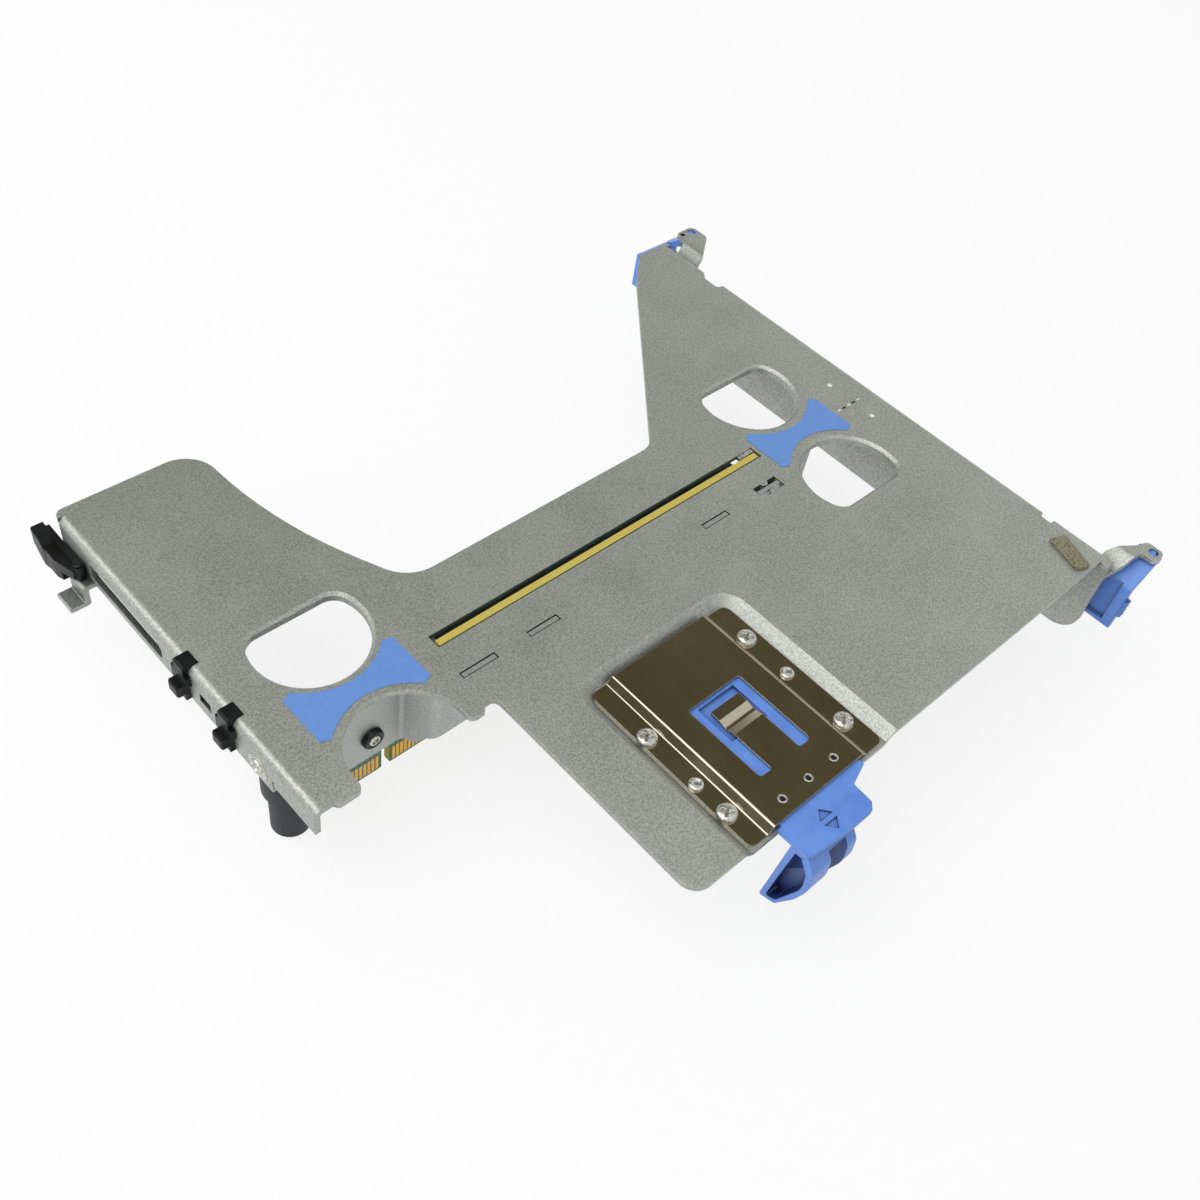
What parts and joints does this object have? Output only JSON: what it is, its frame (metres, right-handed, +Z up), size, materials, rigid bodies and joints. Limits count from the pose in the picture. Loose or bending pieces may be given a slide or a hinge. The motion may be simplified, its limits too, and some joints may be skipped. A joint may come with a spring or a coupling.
{
  "type": "server riser card cage",
  "caption": "Low sheet-metal riser cage with an edge-connector board, side card slot, sliding finger latch, corner levers and guide pin.",
  "frame": {"origin": "on the guide pin's axis, at the underside of the pin's collar", "axes": "+X along the riser board from the rear flange to the front flange, +Y across the board to the card bay, +Z up out of the top sheet"},
  "size_m": [0.1945, 0.1599, 0.0312],
  "materials": {
    "sheet_steel": "zinc-plated sheet steel, satin with a fine speckle",
    "board": "dark green solder mask over glass-epoxy board",
    "gold": "gold plate",
    "black_plastic": "black moulded nylon, fine texture",
    "grey_plastic": "dark grey moulded plastic",
    "stainless": "polished stainless spring sheet",
    "bright_steel": "bright zinc-plated steel",
    "blue_plastic": "medium blue moulded plastic",
    "blue_label": "printed blue film",
    "foam": "tan conductive foam",
    "dark_steel": "blackened steel"
  },
  "bodies": {
    "cage": {"cage_plate": "sheet_steel", "board_bracket": "sheet_steel", "riser_board": "board", "edge_fingers": "gold", "card_slot": "black_plastic", "slot_contacts": "gold", "board_screws": "dark_steel", "board_spacers": "bright_steel", "guide_pin": "grey_plastic", "guide_pin_rivet": "bright_steel", "retainer_plate": "stainless", "retainer_screws": "bright_steel", "retainer_pins": "bright_steel", "rear_clip_outer": "black_plastic", "rear_clip_inner": "black_plastic", "card_latch_pin": "dark_steel", "lever_spring": "dark_steel", "touch_label_rear": "blue_label", "touch_label_front": "blue_label", "foam_pad": "foam"},
    "slide": {"slide_latch": "blue_plastic"},
    "card_hook": {"card_latch": "black_plastic"},
    "right_lever": {"lever_right": "blue_plastic"},
    "left_lever": {"lever_left": "blue_plastic"}
  },
  "joints": [
    {"name": "latch_slide", "type": "slide", "parent": "cage", "child": "slide", "axis": [0, -1, 0], "range_m": [0, 0.004]},
    {"name": "card_hook_swing", "type": "hinge", "parent": "cage", "child": "card_hook", "pos_m": [-0.00695, 0.0616, 0.0114], "axis": [0, 0, 1], "range_deg": [0, 70]},
    {"name": "right_lever_swing", "type": "hinge", "parent": "cage", "child": "right_lever", "pos_m": [0.1805, -0.0768, 0.0172], "axis": [0, 0, -1], "range_deg": [0, 60]},
    {"name": "left_lever_swing", "type": "hinge", "parent": "cage", "child": "left_lever", "pos_m": [0.1803, 0.072, 0.0172], "axis": [0, 0, -1], "range_deg": [0, 60]}
  ]
}
